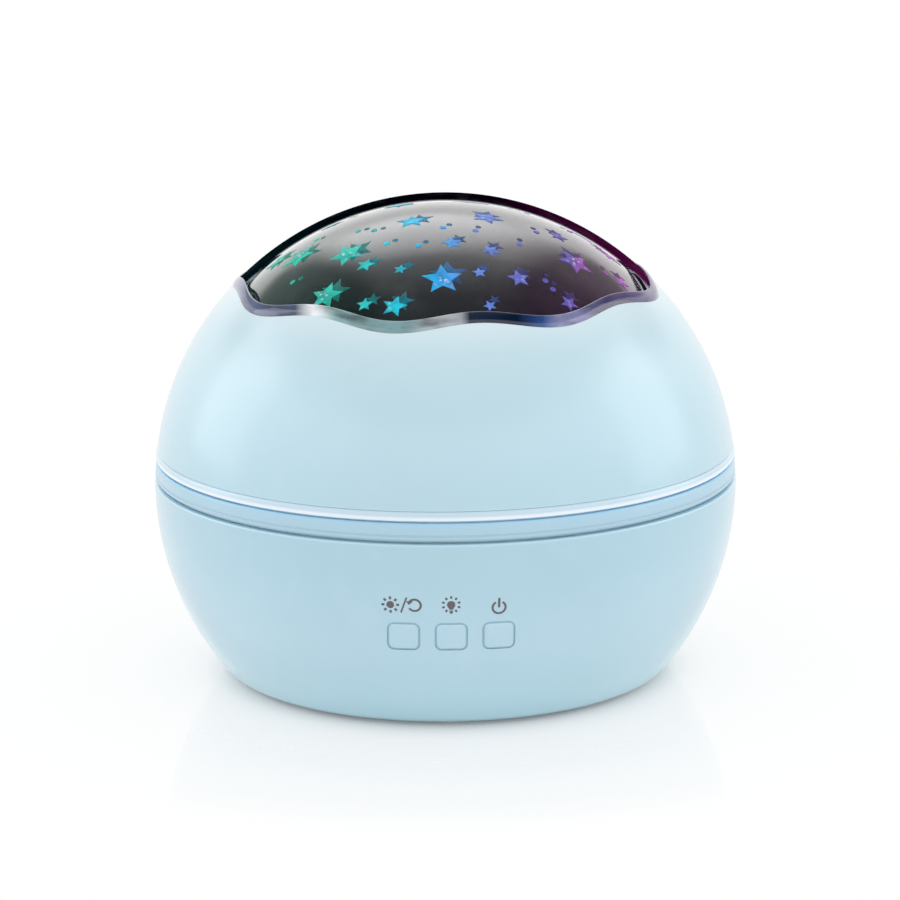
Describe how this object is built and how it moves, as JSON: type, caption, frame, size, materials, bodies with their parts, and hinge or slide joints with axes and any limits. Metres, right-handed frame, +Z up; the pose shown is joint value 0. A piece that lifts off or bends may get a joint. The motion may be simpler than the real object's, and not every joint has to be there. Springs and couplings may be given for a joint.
{
  "type": "star night light projector",
  "caption": "Ball-shaped nursery lamp with blue shells, a clear wavy-edged cap over a turning star dome, a pale middle band and push buttons in front.",
  "frame": {"origin": "on the axis of the ball, on the surface that the feet stand on", "axes": "+Z up along the turning axis, -Y towards the front with the buttons, +X to the viewer's right"},
  "size_m": [0.13, 0.13, 0.1071],
  "materials": {
    "blue_shell": "semi-gloss moulded, pearl",
    "lower_shell": "semi-gloss moulded, pearl",
    "underside": "fine spark texture",
    "band": "milky, slightly see-through",
    "clear": "clear polished plastic",
    "film": "dark smoked, polished",
    "stars": "tinted, lit from within",
    "white": "moulded",
    "gear": "acetal, moulded",
    "button": "semi-gloss moulded",
    "black_plastic": "moulded",
    "rubber": "soft moulded",
    "steel": "zinc plated",
    "cell": "plain wrapped sleeve",
    "board": "glass-fibre board with solder resist",
    "white_board": "white lamp board",
    "component": "moulded",
    "led": "clear lens",
    "warm_led": "phosphor dome",
    "wire": "insulated"
  },
  "bodies": {
    "base": {"base_shell": "lower_shell", "bottom_cover": "underside", "battery_door": "underside", "battery_door_screw": "steel", "battery_cells": "cell", "battery_contacts": "steel", "cover_screws": "steel", "rubber_feet": "rubber", "band_ring": "band", "chassis_deck": "white", "motor_gearbox": "white", "motor_can": "steel", "motor_screws": "steel", "push_switches": "black_plastic", "switch_board": "board", "switch_screws": "steel", "main_board": "board", "board_screws": "steel", "board_components": "component", "power_socket": "steel", "led_post": "white", "post_screws": "steel", "led_board": "white_board", "led_board_screws": "steel", "star_leds": "led", "night_leds": "warm_led", "motor_leads": "wire", "led_leads": "wire", "battery_leads": "wire", "switch_leads": "wire"},
    "dome": {"ring_gear": "gear", "film_seat": "white", "film_dome": "film", "star_lens": "stars"},
    "pinion": {"drive_pinion": "gear", "motor_shaft": "steel"},
    "cover": {"wave_shell": "blue_shell", "clear_cap": "clear", "cover_ring": "blue_shell"},
    "key_rotate": {"button_rotate": "button", "plunger_rotate": "black_plastic"},
    "key_colour": {"button_colour": "button", "plunger_colour": "black_plastic"},
    "key_power": {"button_power": "button", "plunger_power": "black_plastic"}
  },
  "joints": [
    {"name": "cover_lift", "type": "slide", "parent": "base", "child": "cover", "axis": [0, 0, 1], "range_m": [0, 0.065]},
    {"name": "dome_spin", "type": "hinge", "parent": "base", "child": "dome", "pos_m": [0, 0, 0.045], "axis": [0, 0, 1], "continuous": true},
    {"name": "pinion_spin", "type": "hinge", "parent": "base", "child": "pinion", "pos_m": [0.045, 0, 0.044], "axis": [0, 0, 1], "continuous": true},
    {"name": "press_rotate", "type": "slide", "parent": "base", "child": "key_rotate", "axis": [0, 1, 0], "range_m": [0, 0.0008], "stiffness_N_per_m": 1500},
    {"name": "press_colour", "type": "slide", "parent": "base", "child": "key_colour", "axis": [0, 1, 0], "range_m": [0, 0.0008], "stiffness_N_per_m": 1500},
    {"name": "press_power", "type": "slide", "parent": "base", "child": "key_power", "axis": [0, 1, 0], "range_m": [0, 0.0008], "stiffness_N_per_m": 1500}
  ],
  "couplings": [
    {"joint": "pinion_spin", "follows": "dome_spin", "ratio": 6}
  ]
}
